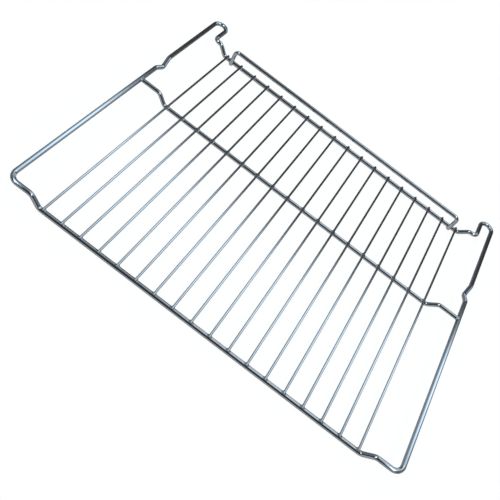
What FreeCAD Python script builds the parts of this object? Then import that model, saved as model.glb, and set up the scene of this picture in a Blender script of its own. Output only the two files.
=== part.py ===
"""Oven shelf rack of chrome-plated steel wire.

A grid of thin rungs lies across three thick cross wires and hangs a step below two side runners. One closed loop
of wire makes the front run, the runners with a stop notch each, the rear horns and the rear run. A raised rail at
the rear stops pans. The frame is +X to the right, +Y to the rear, +Z up, with the origin under the rack's middle.
"""

import FreeCAD, Part
import math
import os

from FreeCAD import Placement, Rotation, Vector

# Driving sizes in millimetres. Runs, bars and rungs are measured to their wires' axes, bends on the axis too.
SIZES = [
    ("frame_wire", 5.4, "diameter of the loop's wire"),
    ("bar_wire", 5.0, "diameter of the middle bar"),
    ("rung_wire", 2.6, "diameter of the rungs"),
    ("rail_wire", 5.0, "diameter of the rear rail"),
    ("rung_count", 18, "how many rungs"),
    ("rung_pitch", 22.0, "from rung to rung"),
    ("rung_overhang", 1.2, "rung end past the axis of the front or rear run"),
    ("grid_depth", 350.0, "front run to rear run"),
    ("bar_from_front", 209.6, "front run to middle bar"),
    ("step_clear", 1.5, "outermost rung to where the step's first bend starts"),
    ("step_run", 10.5, "foot of the step to its head, sideways"),
    ("step_rise", 12.5, "grid level to runner level, on the loop"),
    ("step_bend", 7.0, "bend radius of the steps"),
    ("wing_width", 27.2, "head of the step to the runner"),
    ("corner_bend", 10.0, "bend radius of the front corners"),
    ("notch_from_bar", 30.4, "middle bar to the start of the stop notch"),
    ("notch_lead", 7.5, "length of the notch's steep front flank"),
    ("notch_return", 20.0, "length of the notch's long rear flank"),
    ("notch_depth", 4.6, "how far the notch goes inwards"),
    ("notch_bend", 6.0, "bend radius of the notch"),
    ("horn_reach", 33.7, "rear run to the tip of the horns"),
    ("horn_root_run", 0.2, "straight between the rear step's last bend and the horn's first"),
    ("horn_root_bend", 6.5, "bend radius where the horn joins the rear run"),
    ("rail_inset", 8.5, "outermost rung to the rail's leg"),
    ("rail_rise", 21.5, "rear run to the rail"),
    ("rail_bend", 6.0, "bend radius of the rail's corners"),
    ("rail_end_drop", 1.0, "rail's leg end below the axis of the rear run"),
    ("weld_set", 0.4, "how far two welded wires sink into each other"),
    ("end_round", 0.4, "rounding of cropped wire ends"),
]

# Places that several pieces share, as expressions on the sheet.
FRONT_Y = "-(dims.grid_depth + dims.horn_reach) / 2"
REAR_Y = "(dims.grid_depth - dims.horn_reach) / 2"
OUTER_RUNG_X = "(dims.rung_count - 1) / 2 * dims.rung_pitch"
RUN_Z = "dims.frame_wire / 2"

# Checks on the sweeps: a straight run shorter than this is left out, and a volume may differ by this share.
SMALLEST_RUN = 0.000001
VOLUME_TOLERANCE = 0.001


def make_sheet(doc):
    """Puts every driving size in a cell of its own, with its name as the alias."""
    sheet = doc.addObject("Spreadsheet::Sheet", "dims")
    for row, (name, value, note) in enumerate(SIZES, start=1):
        sheet.set(f"A{row}", name)
        sheet.set(f"B{row}", str(value))
        sheet.setAlias(f"B{row}", name)
        sheet.set(f"C{row}", note)
    doc.recompute()
    return sheet


class Places:
    """Coordinates of the bends, worked out from the sheet."""

    def __init__(self, dims):
        self.front_y = -(dims.grid_depth + dims.horn_reach) / 2
        self.rear_y = self.front_y + dims.grid_depth
        self.bar_y = self.front_y + dims.bar_from_front
        self.horn_tip_y = self.rear_y + dims.horn_reach
        self.outer_rung_x = (dims.rung_count - 1) / 2 * dims.rung_pitch
        step_turn = math.atan2(dims.step_rise, dims.step_run)
        bend_length = dims.step_bend * math.tan(step_turn / 2)
        self.step_foot_x = self.outer_rung_x + dims.step_clear + bend_length
        self.step_head_x = self.step_foot_x + dims.step_run
        self.runner_x = self.step_head_x + dims.wing_width
        self.horn_leg_x = self.step_head_x + bend_length + dims.horn_root_run + dims.horn_root_bend
        self.rail_leg_x = self.outer_rung_x - dims.rail_inset
        self.run_z = dims.frame_wire / 2
        self.runner_z = self.run_z + dims.step_rise
        self.bar_z = dims.frame_wire - dims.bar_wire / 2
        self.rail_y = self.rear_y - (dims.frame_wire + dims.rail_wire) / 2 + dims.weld_set
        self.rail_z = self.run_z + dims.rail_rise
        self.rail_end_z = self.run_z - dims.rail_end_drop


def rounded_path(corners):
    """A wire through the corners, each given as (point, bend radius), with an arc at every bend."""
    points = [Vector(*point) for point, _ in corners]
    edges = []
    reached = points[0]
    for before, (_, radius), at, after in zip(points, corners[1:], points[1:], points[2:]):
        come = (at - before).normalize()
        leave = (after - at).normalize()
        half_turn = come.getAngle(leave) / 2
        tangent = radius * math.tan(half_turn)
        start = at - come * tangent
        end = at + leave * tangent
        inwards = (leave - come).normalize()
        crown = at + inwards * (radius / math.cos(half_turn) - radius)
        if (start - reached).Length > SMALLEST_RUN:
            edges.append(Part.LineSegment(reached, start).toShape())
        edges.append(Part.Arc(start, crown, end).toShape())
        reached = end
    edges.append(Part.LineSegment(reached, points[-1]).toShape())
    return Part.Wire(edges)


def bend_wire(doc, name, half_path, diameter, start_y, start_z):
    """A round wire bent the same way on both sides: its right half is swept from x = 0 and joined to its mirror."""
    path = doc.addObject("Part::Feature", name + "_path")
    path.Shape = half_path
    section = doc.addObject("Part::Circle", name + "_section")
    section.setExpression("Radius", f"dims.{diameter} / 2")
    section.Placement = Placement(Vector(), Rotation(Vector(0, 1, 0), 90))
    section.setExpression("Placement.Base.y", start_y)
    section.setExpression("Placement.Base.z", start_z)
    right_half = doc.addObject("Part::Sweep", name + "_right_half")
    right_half.Sections = [section]
    right_half.Spine = (path, [f"Edge{n + 1}" for n in range(len(half_path.Edges))])
    right_half.Solid = True
    doc.recompute()
    expected = math.pi * section.Radius.Value ** 2 * half_path.Length
    if abs(right_half.Shape.Volume / expected - 1) > VOLUME_TOLERANCE:
        raise RuntimeError(f"{name}: the swept volume is {right_half.Shape.Volume:.1f}, not {expected:.1f}")
    left_half = doc.addObject("Part::Mirroring", name + "_left_half")
    left_half.Source = right_half
    left_half.Normal = Vector(1, 0, 0)
    wire = doc.addObject("Part::Fuse", name)
    wire.Base = right_half
    wire.Tool = left_half
    wire.Refine = True
    doc.recompute()
    return wire


def seat(doc, name, wire, neighbour):
    """The wire with its neighbour's shape taken out where the two are welded, so that it sits on it."""
    seated = doc.addObject("Part::Cut", name)
    seated.Base = wire
    seated.Tool = neighbour
    doc.recompute()
    return seated


def make_outer_frame(doc, dims, at):
    """The closed loop of front run, runners with their notches, horns and rear run."""
    notch_start = at.bar_y + dims.notch_from_bar
    notch_bottom = notch_start + dims.notch_lead
    notch_end = notch_bottom + dims.notch_return
    horn_bend = (at.runner_x - at.horn_leg_x) / 2
    half_path = rounded_path([
        ((0, at.front_y, at.run_z), 0),
        ((at.step_foot_x, at.front_y, at.run_z), dims.step_bend),
        ((at.step_head_x, at.front_y, at.runner_z), dims.step_bend),
        ((at.runner_x, at.front_y, at.runner_z), dims.corner_bend),
        ((at.runner_x, notch_start, at.runner_z), dims.notch_bend),
        ((at.runner_x - dims.notch_depth, notch_bottom, at.runner_z), dims.notch_bend),
        ((at.runner_x, notch_end, at.runner_z), dims.notch_bend),
        ((at.runner_x, at.horn_tip_y, at.runner_z), horn_bend),
        ((at.horn_leg_x, at.horn_tip_y, at.runner_z), horn_bend),
        ((at.horn_leg_x, at.rear_y, at.runner_z), dims.horn_root_bend),
        ((at.step_head_x, at.rear_y, at.runner_z), dims.step_bend),
        ((at.step_foot_x, at.rear_y, at.run_z), dims.step_bend),
        ((0, at.rear_y, at.run_z), 0),
    ])
    return bend_wire(doc, "outer_frame", half_path, "frame_wire", FRONT_Y, RUN_Z)


def make_middle_bar(doc, dims, at, frame):
    """The cross bar under the rungs, stepped up to the runners and coped to them at both ends."""
    half_path = rounded_path([
        ((0, at.bar_y, at.bar_z), 0),
        ((at.step_foot_x, at.bar_y, at.bar_z), dims.step_bend),
        ((at.step_head_x, at.bar_y, at.runner_z), dims.step_bend),
        ((at.runner_x, at.bar_y, at.runner_z), 0),
    ])
    bar_z = "dims.frame_wire - dims.bar_wire / 2"
    bar = bend_wire(doc, "bar_before_coping", half_path, "bar_wire", FRONT_Y + " + dims.bar_from_front", bar_z)
    return seat(doc, "middle_bar", bar, frame)


def make_rear_rail(doc, dims, at, frame):
    """The pan stop: a long run with its two legs bent down in front of the rear run."""
    half_path = rounded_path([
        ((0, at.rail_y, at.rail_z), 0),
        ((at.rail_leg_x, at.rail_y, at.rail_z), dims.rail_bend),
        ((at.rail_leg_x, at.rail_y, at.rail_end_z), 0),
    ])
    rail_y = REAR_Y + " - (dims.frame_wire + dims.rail_wire) / 2 + dims.weld_set"
    rail = bend_wire(doc, "rail_before_seating", half_path, "rail_wire", rail_y, RUN_Z + " + dims.rail_rise")
    return seat(doc, "rear_rail", rail, frame)


def make_rung(doc, dims, number, frame, bar):
    """One rung, with rounded ends, seated on the front run, the middle bar and the rear run."""
    name = f"rung_{number:02d}"
    wire = doc.addObject("Part::Cylinder", name + "_wire")
    wire.setExpression("Radius", "dims.rung_wire / 2")
    wire.setExpression("Height", "dims.grid_depth + 2 * dims.rung_overhang")
    wire.Placement = Placement(Vector(), Rotation(Vector(1, 0, 0), -90))
    wire.setExpression("Placement.Base.x", f"{number - 1} * dims.rung_pitch - {OUTER_RUNG_X}")
    wire.setExpression("Placement.Base.y", FRONT_Y + " - dims.rung_overhang")
    wire.setExpression("Placement.Base.z", "dims.frame_wire + dims.rung_wire / 2 - dims.weld_set")
    doc.recompute()
    rounded = doc.addObject("Part::Fillet", name + "_rounded")
    rounded.Base = wire
    ends = [n for n, edge in enumerate(wire.Shape.Edges, start=1) if isinstance(edge.Curve, Part.Circle)]
    rounded.Edges = [(n, dims.end_round, dims.end_round) for n in ends]
    on_frame = seat(doc, name + "_on_frame", rounded, frame)
    return seat(doc, name, on_frame, bar)


def check(doc, pieces):
    """Stops if an object failed or a piece isn't one valid solid."""
    doc.recompute()
    for thing in doc.Objects:
        if {"Invalid", "Error"} & set(thing.State):
            raise RuntimeError(f"{thing.Label} failed: {thing.State}")
    for piece in pieces:
        shape = piece.Shape
        if shape.isNull() or not shape.isValid() or len(shape.Solids) != 1:
            raise RuntimeError(f"{piece.Label} isn't one valid solid")


def main():
    doc = FreeCAD.newDocument("oven_shelf_rack")
    dims = make_sheet(doc)
    at = Places(dims)
    frame = make_outer_frame(doc, dims, at)
    bar = make_middle_bar(doc, dims, at, frame)
    rail = make_rear_rail(doc, dims, at, frame)
    rungs = [make_rung(doc, dims, n + 1, frame, bar) for n in range(int(dims.rung_count))]
    pieces = [frame, bar, rail, *rungs]
    check(doc, pieces)
    os.makedirs("parts", exist_ok=True)
    for piece in pieces:
        piece.Shape.exportStep(f"parts/{piece.Label}.step")
        print(f"{piece.Label}: {piece.Shape.Volume:.1f} mm3")


main()
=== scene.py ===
"""Looks of the oven shelf rack: chromed wires with their weld fillets, on a pale floor in soft light."""
import math

import bmesh
import bpy
from mathutils import Matrix, Vector


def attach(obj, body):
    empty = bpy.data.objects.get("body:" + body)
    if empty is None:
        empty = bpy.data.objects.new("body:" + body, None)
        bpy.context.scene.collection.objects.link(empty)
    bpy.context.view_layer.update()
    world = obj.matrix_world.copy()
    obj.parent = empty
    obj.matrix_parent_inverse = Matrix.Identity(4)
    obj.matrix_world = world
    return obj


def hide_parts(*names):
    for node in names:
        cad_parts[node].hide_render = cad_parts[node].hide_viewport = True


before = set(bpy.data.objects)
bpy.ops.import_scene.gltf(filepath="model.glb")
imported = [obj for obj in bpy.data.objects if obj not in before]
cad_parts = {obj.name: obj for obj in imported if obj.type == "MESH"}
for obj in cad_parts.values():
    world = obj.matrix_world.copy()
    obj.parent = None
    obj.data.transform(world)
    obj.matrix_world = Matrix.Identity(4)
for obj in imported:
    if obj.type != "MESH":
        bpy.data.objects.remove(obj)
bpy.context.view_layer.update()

# Sizes in millimetres, as the solids have them. Bends and places are on the wires' axes.
MM = 0.001
FRAME_WIRE = 5.4
BAR_WIRE = 5.0
RUNG_WIRE = 2.6
RAIL_WIRE = 5.0
RUNG_COUNT = 18
RUNG_PITCH = 22.0
RUNG_OVERHANG = 1.2
GRID_DEPTH = 350.0
BAR_FROM_FRONT = 209.6
STEP_CLEAR = 1.5
STEP_RUN = 10.5
STEP_RISE = 12.5
STEP_BEND = 7.0
WING_WIDTH = 27.2
CORNER_BEND = 10.0
NOTCH_FROM_BAR = 30.4
NOTCH_LEAD = 7.5
NOTCH_RETURN = 20.0
NOTCH_DEPTH = 4.6
NOTCH_BEND = 6.0
HORN_REACH = 33.7
HORN_ROOT_RUN = 0.2
HORN_ROOT_BEND = 6.5
RAIL_INSET = 8.5
RAIL_RISE = 21.5
RAIL_BEND = 6.0
RAIL_END_DROP = 1.0
WELD_SET = 0.4
END_ROUND = 0.4

# Places that follow from the sizes.
FRONT_Y = -(GRID_DEPTH + HORN_REACH) / 2
REAR_Y = FRONT_Y + GRID_DEPTH
BAR_Y = FRONT_Y + BAR_FROM_FRONT
HORN_TIP_Y = REAR_Y + HORN_REACH
OUTER_RUNG_X = (RUNG_COUNT - 1) / 2 * RUNG_PITCH
STEP_BEND_LENGTH = STEP_BEND * math.tan(math.atan2(STEP_RISE, STEP_RUN) / 2)
STEP_FOOT_X = OUTER_RUNG_X + STEP_CLEAR + STEP_BEND_LENGTH
STEP_HEAD_X = STEP_FOOT_X + STEP_RUN
RUNNER_X = STEP_HEAD_X + WING_WIDTH
HORN_LEG_X = STEP_HEAD_X + STEP_BEND_LENGTH + HORN_ROOT_RUN + HORN_ROOT_BEND
RAIL_LEG_X = OUTER_RUNG_X - RAIL_INSET
RUN_Z = FRAME_WIRE / 2
RUNNER_Z = RUN_Z + STEP_RISE
BAR_Z = FRAME_WIRE - BAR_WIRE / 2
RUNG_Z = FRAME_WIRE + RUNG_WIRE / 2 - WELD_SET
RAIL_GAP = (FRAME_WIRE + RAIL_WIRE) / 2 - WELD_SET
RAIL_Y = REAR_Y - RAIL_GAP
RAIL_Z = RUN_Z + RAIL_RISE
RAIL_END_Z = RUN_Z - RAIL_END_DROP

# Rows of wires and welds, in metres from one to the next.
SINGLE = (0.0, 0.0, 0.0)
RUNG_SPACING = (RUNG_PITCH * MM, 0.0, 0.0)
RAIL_LEG_SPACING = (2 * RAIL_LEG_X * MM, 0.0, 0.0)

# How finely the rounds are drawn, how far inside its solid a wire's face lies, how near two points of a path
# are one, and the radius that each weld leaves in the corner between two wires. Lengths are in millimetres.
FACE_INSET = 0.01
SAME_PLACE = 0.01
BEND_STEP = math.radians(5)
END_STEPS = 3
WIRE_SIDES = 28
RUNG_SIDES = 20
WELD_STEPS = 32
WELD_ARC_STEPS = 5
RUNG_FILLET = 1.5
BAR_FILLET = 1.4
RAIL_FILLET = 0.6

# The chrome: its tones and the length of a patch of one tone, the waves that the drawn wire under it leaves,
# in millimetres, its roughness between and on those waves, and its dark edges.
DARK_TONE = "#868b90"
LIGHT_TONE = "#979ca0"
PATCH_LENGTH = 30
PATCH_DETAIL = 2.0
WAVE_LENGTH = 6
WAVE_DETAIL = 1.0
WAVE_DEPTH = 0.05
WAVE_SHARE = 0.25
LEAST_ROUGHNESS = 0.06
MOST_ROUGHNESS = 0.13
EDGE_TONE = "#20262e"

# Sockets of a Mix node that mixes colours.
MIX_SHARE = 0
MIX_FIRST = 6
MIX_SECOND = 7
MIX_RESULT = 2


def drawn(diameter):
    """A wire's diameter in metres as it is drawn, a hair inside its solid."""
    return (diameter - 2 * FACE_INSET) * MM


def linear(hex_colour):
    """An sRGB hex colour as linear red, green, blue and alpha."""
    shares = [int(hex_colour[i:i + 2], 16) / 255 for i in (1, 3, 5)]
    return [s / 12.92 if s <= 0.04045 else ((s + 0.055) / 1.055) ** 2.4 for s in shares] + [1.0]


def add(tree, kind, inputs=None, **settings):
    """Adds a node. inputs gives sockets, by name or number, a value or the socket that feeds them."""
    node = tree.nodes.new(kind)
    for setting, value in settings.items():
        setattr(node, setting, value)
    for socket, value in (inputs or {}).items():
        if isinstance(value, bpy.types.NodeSocket):
            tree.links.new(value, node.inputs[socket])
        else:
            node.inputs[socket].default_value = value
    return node


def rounded_path(corners):
    """Points in metres along a line through the corners, each (point, bend radius), with arcs at bends."""
    points = [Vector(point) * MM for point, _ in corners]
    path = [points[0]]
    for before, (_, radius), at, after in zip(points, corners[1:], points[1:], points[2:]):
        come = (at - before).normalized()
        leave = (after - at).normalized()
        turn = come.angle(leave)
        start = at - come * (radius * MM * math.tan(turn / 2))
        side = (leave - come * leave.dot(come)).normalized()
        centre = start + side * (radius * MM)
        steps = max(2, math.ceil(turn / BEND_STEP))
        for step in range(steps + 1):
            angle = turn * step / steps
            point = centre + (come * math.sin(angle) - side * math.cos(angle)) * (radius * MM)
            if (point - path[-1]).length > SAME_PLACE * MM:
                path.append(point)
    path.append(points[-1])
    return path


def mirrored(half):
    """A path from x = 0 to the right, with its mirror image on the left before it."""
    return [Vector((-p.x, p.y, p.z)) for p in reversed(half[1:])] + half


def path_mesh(name, path, thickness=None, closed=False):
    """Edges along a path. thickness gives each point's share of the wire's radius."""
    mesh = bpy.data.meshes.new(name)
    edges = [(i, i + 1) for i in range(len(path) - 1)]
    if closed:
        edges.append((len(path) - 1, 0))
    mesh.from_pydata(path, edges, [])
    share = mesh.attributes.new("thickness", "FLOAT", "POINT")
    share.data.foreach_set("value", thickness or [1.0] * len(path))
    return mesh


def round_ends(path, diameter):
    """The path with extra points at both ends, and the thickness there that rounds the cropped edge."""
    angles = [math.pi / 2 * step / END_STEPS for step in range(END_STEPS + 1)]
    insets = [END_ROUND * MM * (1 - math.sin(angle)) for angle in angles]
    shares = [1 - 2 * END_ROUND * (1 - math.cos(angle)) / diameter for angle in reversed(angles)]
    first = (path[1] - path[0]).normalized()
    last = (path[-2] - path[-1]).normalized()
    start = [path[0] + first * inset for inset in reversed(insets)]
    end = [path[-1] + last * inset for inset in insets]
    return start + path[1:-1] + end, shares + [1.0] * (len(path) - 2) + shares[::-1]


def new_row_tree(name, inputs):
    """An empty geometry tree with a shape, a material and a row's count and spacing as its inputs."""
    tree = bpy.data.node_groups.new(name, "GeometryNodeTree")
    tree.interface.new_socket("Shape", in_out="INPUT", socket_type="NodeSocketGeometry")
    shared = [("Count", "NodeSocketInt"), ("Spacing", "NodeSocketVector"), ("Finish", "NodeSocketMaterial")]
    for label, kind in inputs + shared:
        tree.interface.new_socket(label, in_out="INPUT", socket_type=kind)
    tree.interface.new_socket("Row", in_out="OUTPUT", socket_type="NodeSocketGeometry")
    return tree, add(tree, "NodeGroupInput").outputs


def repeat_in_row(tree, given, shape):
    """Ends a tree: the shape stands Count times, Spacing apart, as one smooth mesh in its finish."""
    spaced = {"Count": given["Count"], "Offset": given["Spacing"]}
    places = add(tree, "GeometryNodeMeshLine", spaced, mode="OFFSET")
    row = add(tree, "GeometryNodeInstanceOnPoints", {"Points": places.outputs[0], "Instance": shape})
    real = add(tree, "GeometryNodeRealizeInstances", {"Geometry": row.outputs[0]})
    smooth = add(tree, "GeometryNodeSetShadeSmooth", {"Geometry": real.outputs[0]})
    plated = {"Geometry": smooth.outputs[0], "Material": given["Finish"]}
    finished = add(tree, "GeometryNodeSetMaterial", plated)
    add(tree, "NodeGroupOutput", {0: finished.outputs[0]})
    return tree


def wire_row_tree():
    """A round wire along the path that comes in, repeated in a row."""
    tree, given = new_row_tree("wire row", [("Diameter", "NodeSocketFloat"), ("Sides", "NodeSocketInt")])
    share = add(tree, "GeometryNodeInputNamedAttribute", {"Name": "thickness"}, data_type="FLOAT")
    radius = add(tree, "ShaderNodeMath", {0: given["Diameter"], 1: 2.0}, operation="DIVIDE")
    line = add(tree, "GeometryNodeMeshToCurve", {"Mesh": given["Shape"]})
    round_section = {"Resolution": given["Sides"], "Radius": radius.outputs[0]}
    section = add(tree, "GeometryNodeCurvePrimitiveCircle", round_section)
    thickened = {"Curve": line.outputs[0], "Radius": share.outputs[0]}
    thick_line = add(tree, "GeometryNodeSetCurveRadius", thickened)
    swept = {"Curve": thick_line.outputs[0], "Profile Curve": section.outputs[0], "Fill Caps": True}
    wire = add(tree, "GeometryNodeCurveToMesh", swept)
    return repeat_in_row(tree, given, wire.outputs[0])


def weld_row_tree():
    """A weld's fillet, repeated in a row."""
    tree, given = new_row_tree("weld row", [])
    return repeat_in_row(tree, given, given["Shape"])


def make_row(name, tree, shape, **inputs):
    """Runs a geometry tree on a shape and keeps what it gives as a plain mesh that rides with the rack."""
    piece = bpy.data.objects.new(name, shape)
    bpy.context.scene.collection.objects.link(piece)
    modifier = piece.modifiers.new(name, "NODES")
    modifier.node_group = tree
    for socket in tree.interface.items_tree:
        if socket.in_out == "INPUT" and socket.name in inputs:
            modifier[socket.identifier] = inputs[socket.name]
    depsgraph = bpy.context.evaluated_depsgraph_get()
    mesh = bpy.data.meshes.new_from_object(piece.evaluated_get(depsgraph), depsgraph=depsgraph)
    piece.modifiers.remove(modifier)
    piece.data = mesh
    mesh.name = name
    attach(piece, "root")
    return piece


def fillet_mesh(name, ring, place):
    """A closed weld fillet. ring holds, all round, a rolling ball's centre and where it touches each wire."""
    mesh = bmesh.new()
    rows = []
    for centre, on_thin, on_thick in ring:
        towards_thin = on_thin - centre
        towards_thick = on_thick - centre
        row = []
        for step in range(WELD_ARC_STEPS + 1):
            arm = towards_thin.normalized().slerp(towards_thick.normalized(), step / WELD_ARC_STEPS)
            row.append(mesh.verts.new(centre + arm * towards_thin.length))
        rows.append(row)
    for row, following in zip(rows, rows[1:] + rows[:1]):
        for step in range(WELD_ARC_STEPS):
            mesh.faces.new((row[step], row[step + 1], following[step + 1], following[step]))
    for edge in (0, WELD_ARC_STEPS):
        middle = mesh.verts.new(sum((row[edge].co for row in rows), Vector()) / len(rows))
        for row, following in zip(rows, rows[1:] + rows[:1]):
            mesh.faces.new((row[edge], following[edge], middle))
    bmesh.ops.recalc_face_normals(mesh, faces=mesh.faces)
    mesh.transform(place @ Matrix.Scale(MM, 4))
    finished = bpy.data.meshes.new(name)
    mesh.to_mesh(finished)
    mesh.free()
    return finished


def crossing_ring(thin, thick, gap, ball):
    """A ball rolled round where a thin wire along Y crosses a thick one along X, gap above it. In mm."""
    widest = math.acos((gap - thick - ball) / (thin + ball))
    share = thick / (thick + ball)
    ring = []
    for step in range(WELD_STEPS):
        turn = math.tau * (step + 0.5) / WELD_STEPS
        angle = widest * math.sin(turn)
        x = (thin + ball) * math.sin(angle)
        z = gap - (thin + ball) * math.cos(angle)
        y = math.copysign(math.sqrt(max(0.0, (thick + ball) ** 2 - z ** 2)), math.cos(turn))
        on_thin = Vector((thin * math.sin(angle), y, gap - thin * math.cos(angle)))
        ring.append((Vector((x, y, z)), on_thin, Vector((x, y * share, z * share))))
    return ring


def butt_ring(thin, thick, ball):
    """A ball rolled round the end of a thin wire that comes along X from the left to a thick one along Y."""
    share = thick / (thick + ball)
    ring = []
    for step in range(WELD_STEPS):
        turn = math.tau * step / WELD_STEPS
        y = (thin + ball) * math.cos(turn)
        z = (thin + ball) * math.sin(turn)
        x = -math.sqrt((thick + ball) ** 2 - z ** 2)
        on_thin = Vector((x, thin * math.cos(turn), thin * math.sin(turn)))
        ring.append((Vector((x, y, z)), on_thin, Vector((x * share, y, z * share))))
    return ring


def new_material(name):
    """An empty material and its node tree."""
    material = bpy.data.materials.new(name)
    material.use_nodes = True
    material.node_tree.nodes.clear()
    return material, material.node_tree


def chrome_plating():
    """Bright chrome plated on drawn steel wire: a cool dark mirror, uneven from the wire under it."""
    material, tree = new_material("bright chrome plating on drawn steel wire")
    place = add(tree, "ShaderNodeTexCoord").outputs["Object"]
    # Long patches where the plating is a shade lighter or darker.
    patch = {"Vector": place, "Scale": 1 / (PATCH_LENGTH * MM), "Detail": PATCH_DETAIL}
    patches = add(tree, "ShaderNodeTexNoise", patch).outputs[0]
    tones = {MIX_SHARE: patches, MIX_FIRST: linear(DARK_TONE), MIX_SECOND: linear(LIGHT_TONE)}
    tone = add(tree, "ShaderNodeMix", tones, data_type="RGBA")
    # The wire's own short waves bend the reflections and dull them where they rise.
    wave = {"Vector": place, "Scale": 1 / (WAVE_LENGTH * MM), "Detail": WAVE_DETAIL}
    waves = add(tree, "ShaderNodeTexNoise", wave).outputs[0]
    relief = {"Height": waves, "Strength": WAVE_SHARE, "Distance": WAVE_DEPTH * MM}
    uneven = add(tree, "ShaderNodeBump", relief)
    dulling = {"Value": waves, "To Min": LEAST_ROUGHNESS, "To Max": MOST_ROUGHNESS}
    gloss = add(tree, "ShaderNodeMapRange", dulling)
    surface = add(tree, "ShaderNodeBsdfPrincipled", {
        "Base Color": tone.outputs[MIX_RESULT], "Metallic": 1.0, "Roughness": gloss.outputs[0],
        "Normal": uneven.outputs[0], "Specular Tint": linear(EDGE_TONE)})
    add(tree, "ShaderNodeOutputMaterial", {"Surface": surface.outputs[0]})
    return material


def add_wires(finish):
    """The loop, the middle bar, the rail and the row of rungs, each along the axis of its solid."""
    tree = wire_row_tree()
    notch_start = BAR_Y + NOTCH_FROM_BAR
    notch_bottom = notch_start + NOTCH_LEAD
    horn_bend = (RUNNER_X - HORN_LEG_X) / 2
    loop = mirrored(rounded_path([
        ((0, FRONT_Y, RUN_Z), 0),
        ((STEP_FOOT_X, FRONT_Y, RUN_Z), STEP_BEND),
        ((STEP_HEAD_X, FRONT_Y, RUNNER_Z), STEP_BEND),
        ((RUNNER_X, FRONT_Y, RUNNER_Z), CORNER_BEND),
        ((RUNNER_X, notch_start, RUNNER_Z), NOTCH_BEND),
        ((RUNNER_X - NOTCH_DEPTH, notch_bottom, RUNNER_Z), NOTCH_BEND),
        ((RUNNER_X, notch_bottom + NOTCH_RETURN, RUNNER_Z), NOTCH_BEND),
        ((RUNNER_X, HORN_TIP_Y, RUNNER_Z), horn_bend),
        ((HORN_LEG_X, HORN_TIP_Y, RUNNER_Z), horn_bend),
        ((HORN_LEG_X, REAR_Y, RUNNER_Z), HORN_ROOT_BEND),
        ((STEP_HEAD_X, REAR_Y, RUNNER_Z), STEP_BEND),
        ((STEP_FOOT_X, REAR_Y, RUN_Z), STEP_BEND),
        ((0, REAR_Y, RUN_Z), 0),
    ]))[1:]
    frame_axis = path_mesh("frame_axis", loop, closed=True)
    frame_wire = make_row("frame_wire", tree, frame_axis, Diameter=drawn(FRAME_WIRE), Sides=WIRE_SIDES,
                          Count=1, Spacing=SINGLE, Finish=finish)
    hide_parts("outer_frame")

    bar = mirrored(rounded_path([
        ((0, BAR_Y, BAR_Z), 0),
        ((STEP_FOOT_X, BAR_Y, BAR_Z), STEP_BEND),
        ((STEP_HEAD_X, BAR_Y, RUNNER_Z), STEP_BEND),
        ((RUNNER_X, BAR_Y, RUNNER_Z), 0),
    ]))
    bar_axis = path_mesh("bar_axis", bar)
    bar_wire = make_row("bar_wire", tree, bar_axis, Diameter=drawn(BAR_WIRE), Sides=WIRE_SIDES, Count=1,
                        Spacing=SINGLE, Finish=finish)
    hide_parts("middle_bar")

    rail, thickness = round_ends(mirrored(rounded_path([
        ((0, RAIL_Y, RAIL_Z), 0),
        ((RAIL_LEG_X, RAIL_Y, RAIL_Z), RAIL_BEND),
        ((RAIL_LEG_X, RAIL_Y, RAIL_END_Z), 0),
    ])), RAIL_WIRE)
    rail_axis = path_mesh("rail_axis", rail, thickness)
    rail_wire = make_row("rail_wire", tree, rail_axis, Diameter=drawn(RAIL_WIRE), Sides=WIRE_SIDES, Count=1,
                         Spacing=SINGLE, Finish=finish)
    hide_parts("rear_rail")

    end_places = (FRONT_Y - RUNG_OVERHANG, REAR_Y + RUNG_OVERHANG)
    rung, thickness = round_ends([Vector((-OUTER_RUNG_X, y, RUNG_Z)) * MM for y in end_places], RUNG_WIRE)
    rung_axis = path_mesh("rung_axis", rung, thickness)
    rungs = make_row("rung_wires", tree, rung_axis, Diameter=drawn(RUNG_WIRE), Sides=RUNG_SIDES,
                     Count=RUNG_COUNT, Spacing=RUNG_SPACING, Finish=finish)
    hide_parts(*[f"rung_{n + 1:02d}" for n in range(RUNG_COUNT)])


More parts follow.
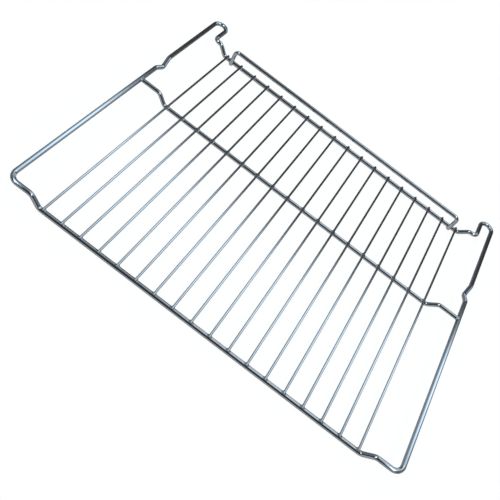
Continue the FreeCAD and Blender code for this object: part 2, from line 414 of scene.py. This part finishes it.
def add_welds(finish):
    """The fillets at every crossing, at the bar's butted ends and at the rail's legs."""
    tree = weld_row_tree()
    first_y = FRONT_Y - RUNG_OVERHANG + END_ROUND
    last_y = REAR_Y + RUNG_OVERHANG - END_ROUND
    for label, y, wire, axis_z in (("front", FRONT_Y, FRAME_WIRE, RUN_Z), ("middle", BAR_Y, BAR_WIRE, BAR_Z),
                                   ("rear", REAR_Y, FRAME_WIRE, RUN_Z)):
        ring = crossing_ring(RUNG_WIRE / 2, wire / 2, RUNG_Z - axis_z, RUNG_FILLET)
        place = Matrix.Translation(Vector((-OUTER_RUNG_X, y, axis_z)) * MM)
        weld = fillet_mesh(f"rung_weld_{label}", ring, place)
        for vertex in weld.vertices:
            vertex.co.y = min(max(vertex.co.y, first_y * MM), last_y * MM)
        make_row(f"rung_welds_{label}", tree, weld, Count=RUNG_COUNT, Spacing=RUNG_SPACING, Finish=finish)

    ring = butt_ring(BAR_WIRE / 2, FRAME_WIRE / 2, BAR_FILLET)
    for label, side, turn in (("left", -1, math.pi), ("right", 1, 0.0)):
        facing = Matrix.Rotation(turn, 4, "Z")
        place = Matrix.Translation(Vector((side * RUNNER_X, BAR_Y, RUNNER_Z)) * MM) @ facing
        weld = fillet_mesh(f"bar_butt_{label}", ring, place)
        make_row(f"bar_weld_{label}", tree, weld, Count=1, Spacing=SINGLE, Finish=finish)

    ring = crossing_ring(RAIL_WIRE / 2, FRAME_WIRE / 2, RAIL_GAP, RAIL_FILLET)
    upright = Matrix.Rotation(math.pi / 2, 4, "X")
    place = Matrix.Translation(Vector((-RAIL_LEG_X, REAR_Y, RUN_Z)) * MM) @ upright
    weld = fillet_mesh("rail_weld", ring, place)
    for vertex in weld.vertices:
        vertex.co.z = max(vertex.co.z, (RAIL_END_Z + END_ROUND) * MM)
    make_row("rail_welds", tree, weld, Count=2, Spacing=RAIL_LEG_SPACING, Finish=finish)


# The studio, in metres: a wide white floor under a dome of grey cloth, which is brighter on the right of its
# middle. An arch of soft light stands behind the rack and fades to the left, and a bluer panel hangs on each
# side. Places on the dome are shares of its radius, to the right or to the rear. Each edge of a light is
# given as (where it starts, where it is full).
WHITE = "#ffffff"
PAPER_COLOUR = "#f4f4f4"
FLOOR_HALF = 30.0
FLOOR_OWN_SHARE = 0.95
DOME_RADIUS = 12.0
DOME_SLICES = 48
DOME_SECTORS = 32
CLOTH_STRENGTH = 2.4
DIM_CLOTH = ((-0.80, "#26282a"), (-0.50, "#3a3c3e"), (-0.15, "#606366"), (0.05, "#7a7e82"),
             (0.34, "#7a7e82"), (0.44, "#4f5254"), (0.72, "#4f5152"), (0.80, "#454544"), (0.88, "#6e7275"))
BRIGHT_CLOTH = ((-0.80, "#26282a"), (-0.50, "#3f4246"), (-0.15, "#a0a5a9"), (0.05, "#dfe6ec"),
                (0.34, "#dfe6ec"), (0.44, "#8f9499"), (0.72, "#3c3e40"), (0.80, "#3c3e40"), (0.88, "#e9f0f7"))
BRIGHT_LEFT = (-0.12, 0.03)
BRIGHT_RIGHT = (0.62, 0.44)
ARCH_FRONT = (0.36, 0.56)
ARCH_REAR = (0.695, 0.605)
ARCH_LEFT = (-1.4, 0.41)
ARCH_RIGHT = (1.05, 0.5)
ARCH_COLOUR = "#e6f0f6"
ARCH_STRENGTH = 4.2
PANEL_FRONT = (-0.78, -0.60)
PANEL_REAR = (0.22, 0.02)
PANEL_INNER = (0.35, 0.41)
PANEL_OUTER = (0.64, 0.56)
PANEL_COLOUR = "#bbdaf2"
PANEL_STRENGTH = 8.0
COLOUR_CHANGE = (0.2, 0.7)


def add_stage(name, mesh, material):
    """Sets a piece of the studio round the rack, apart from it."""
    mesh.materials.append(material)
    piece = bpy.data.objects.new(name, mesh)
    bpy.context.scene.collection.objects.link(piece)
    return piece


def add_floor():
    """Matt white paper. Most of its brightness is its own for what sees it, so that shadows stay faint."""
    material, tree = new_material("matt white studio paper")
    seen = add(tree, "ShaderNodeLightPath").outputs
    by_eye_or_metal = add(tree, "ShaderNodeMath", {0: seen["Is Camera Ray"], 1: seen["Is Glossy Ray"]},
                          operation="MAXIMUM")
    or_glass = add(tree, "ShaderNodeMath", {0: by_eye_or_metal.outputs[0], 1: seen["Is Transmission Ray"]},
                   operation="MAXIMUM")
    share = add(tree, "ShaderNodeMath", {0: or_glass.outputs[0], 1: FLOOR_OWN_SHARE}, operation="MULTIPLY")
    paper = add(tree, "ShaderNodeBsdfDiffuse", {"Color": linear(PAPER_COLOUR)})
    glow = add(tree, "ShaderNodeEmission", {"Color": linear(WHITE), "Strength": 1.0})
    mixed = add(tree, "ShaderNodeMixShader", {0: share.outputs[0], 1: paper.outputs[0], 2: glow.outputs[0]})
    add(tree, "ShaderNodeOutputMaterial", {"Surface": mixed.outputs[0]})
    corners = [(-FLOOR_HALF, -FLOOR_HALF, 0), (FLOOR_HALF, -FLOOR_HALF, 0), (FLOOR_HALF, FLOOR_HALF, 0),
               (-FLOOR_HALF, FLOOR_HALF, 0)]
    mesh = bpy.data.meshes.new("floor")
    mesh.from_pydata(corners, [], [(0, 1, 2, 3)])
    add_stage("floor", mesh, material)


def ramp(tree, share, stops):
    """A colour ramp with its stops at shares of minus one to one."""
    node = add(tree, "ShaderNodeValToRGB", {0: share})
    elements = node.color_ramp.elements
    for place, _ in stops[len(elements):]:
        elements.new((place + 1) / 2)
    for element, (place, colour) in zip(elements, stops):
        element.position = (place + 1) / 2
        element.color = linear(colour)
    return node.outputs[0]


def lit(tree, *edges):
    """How far a light reaches: one inside all its edges, each (share, where it starts, where it is full)."""
    reach = 1.0
    for share, dark, full in edges:
        edge = {"Value": share, "From Min": dark, "From Max": full, "To Max": reach}
        reach = add(tree, "ShaderNodeMapRange", edge, interpolation_type="SMOOTHSTEP").outputs[0]
    return reach


def dome_cloth():
    """Studio cloth with lit panels: bright lines and spots for the chrome to show, dim grey for the rest."""
    material, tree = new_material("studio cloth with lit panels")
    place = add(tree, "ShaderNodeTexCoord").outputs["Object"]
    direction = add(tree, "ShaderNodeVectorMath", {0: place}, operation="NORMALIZE").outputs[0]
    right, behind, _ = add(tree, "ShaderNodeSeparateXYZ", {0: direction}).outputs
    aside = add(tree, "ShaderNodeMath", {0: right}, operation="ABSOLUTE").outputs[0]
    along = add(tree, "ShaderNodeMapRange", {"Value": behind, "From Min": -1.0, "From Max": 1.0}).outputs[0]

    bright = lit(tree, (right, *BRIGHT_LEFT), (right, *BRIGHT_RIGHT))
    cloths = {MIX_SHARE: bright, MIX_FIRST: ramp(tree, along, DIM_CLOTH),
              MIX_SECOND: ramp(tree, along, BRIGHT_CLOTH)}
    cloth = add(tree, "ShaderNodeMix", cloths, data_type="RGBA").outputs[MIX_RESULT]

    arch = lit(tree, (behind, *ARCH_FRONT), (behind, *ARCH_REAR), (right, *ARCH_LEFT), (right, *ARCH_RIGHT))
    panels = lit(tree, (behind, *PANEL_FRONT), (behind, *PANEL_REAR), (aside, *PANEL_INNER),
                 (aside, *PANEL_OUTER))
    lamps = add(tree, "ShaderNodeMath", {0: arch, 1: panels}, operation="ADD").outputs[0]
    change = {"Value": aside, "From Min": COLOUR_CHANGE[0], "From Max": COLOUR_CHANGE[1]}
    bluer = add(tree, "ShaderNodeMapRange", change).outputs[0]
    lamp_colours = {MIX_SHARE: bluer, MIX_FIRST: linear(ARCH_COLOUR), MIX_SECOND: linear(PANEL_COLOUR)}
    lamp = add(tree, "ShaderNodeMix", lamp_colours, data_type="RGBA").outputs[MIX_RESULT]

    shown = {MIX_SHARE: lamps, MIX_FIRST: cloth, MIX_SECOND: lamp}
    colour = add(tree, "ShaderNodeMix", shown, data_type="RGBA").outputs[MIX_RESULT]
    strength = CLOTH_STRENGTH
    for reach, full_strength in ((arch, ARCH_STRENGTH), (panels, PANEL_STRENGTH)):
        more = {0: reach, 1: full_strength - CLOTH_STRENGTH, 2: strength}
        strength = add(tree, "ShaderNodeMath", more, operation="MULTIPLY_ADD").outputs[0]
    light = add(tree, "ShaderNodeEmission", {"Color": colour, "Strength": strength})
    add(tree, "ShaderNodeOutputMaterial", {"Surface": light.outputs[0]})
    return material


def add_dome():
    """Half a sphere of cloth over the rack, which the camera looks through."""
    points = []
    for slice_number in range(DOME_SLICES + 1):
        from_behind = math.pi * slice_number / DOME_SLICES
        for sector in range(DOME_SECTORS + 1):
            over = math.pi * sector / DOME_SECTORS
            points.append(Vector((math.sin(from_behind) * math.cos(over), math.cos(from_behind),
                                  math.sin(from_behind) * math.sin(over))) * DOME_RADIUS)
    row = DOME_SECTORS + 1
    faces = [(a, a + 1, a + row + 1, a + row) for n in range(DOME_SLICES)
             for a in range(n * row, n * row + DOME_SECTORS)]
    mesh = bpy.data.meshes.new("dome")
    mesh.from_pydata(points, [], faces)
    add_stage("dome", mesh, dome_cloth()).visible_camera = False


def add_surroundings():
    """Plain white beyond the dome, which only the camera sees."""
    world = bpy.data.worlds.new("white studio")
    bpy.context.scene.world = world
    world.use_nodes = True
    tree = world.node_tree
    tree.nodes.clear()
    light = add(tree, "ShaderNodeBackground", {"Color": linear(WHITE), "Strength": 1.0})
    add(tree, "ShaderNodeOutputWorld", {"Surface": light.outputs[0]})


# The camera, as the photograph was taken: from above the front, turned about its own axis. Its place and the
# nearest thing that it sees are in metres, its turn in degrees, its lens and sensor in millimetres.
CAMERA_PLACE = (-0.00184, -0.47485, 0.49909)
CAMERA_NEAREST = 0.01
CAMERA_TURN = (32.834, -21.834, 30.949)
CAMERA_LENS = 42.86
CAMERA_SENSOR = 36.0


def add_camera():
    """The camera that the rack is seen with."""
    data = bpy.data.cameras.new("camera")
    data.lens = CAMERA_LENS
    data.sensor_width = CAMERA_SENSOR
    data.clip_start = CAMERA_NEAREST
    camera = bpy.data.objects.new("camera", data)
    camera.location = CAMERA_PLACE
    camera.rotation_euler = [math.radians(angle) for angle in CAMERA_TURN]
    bpy.context.scene.collection.objects.link(camera)
    bpy.context.scene.camera = camera


chrome = chrome_plating()
add_wires(chrome)
add_welds(chrome)
add_floor()
add_dome()
add_surroundings()
add_camera()
bpy.context.scene.view_settings.view_transform = "Standard"
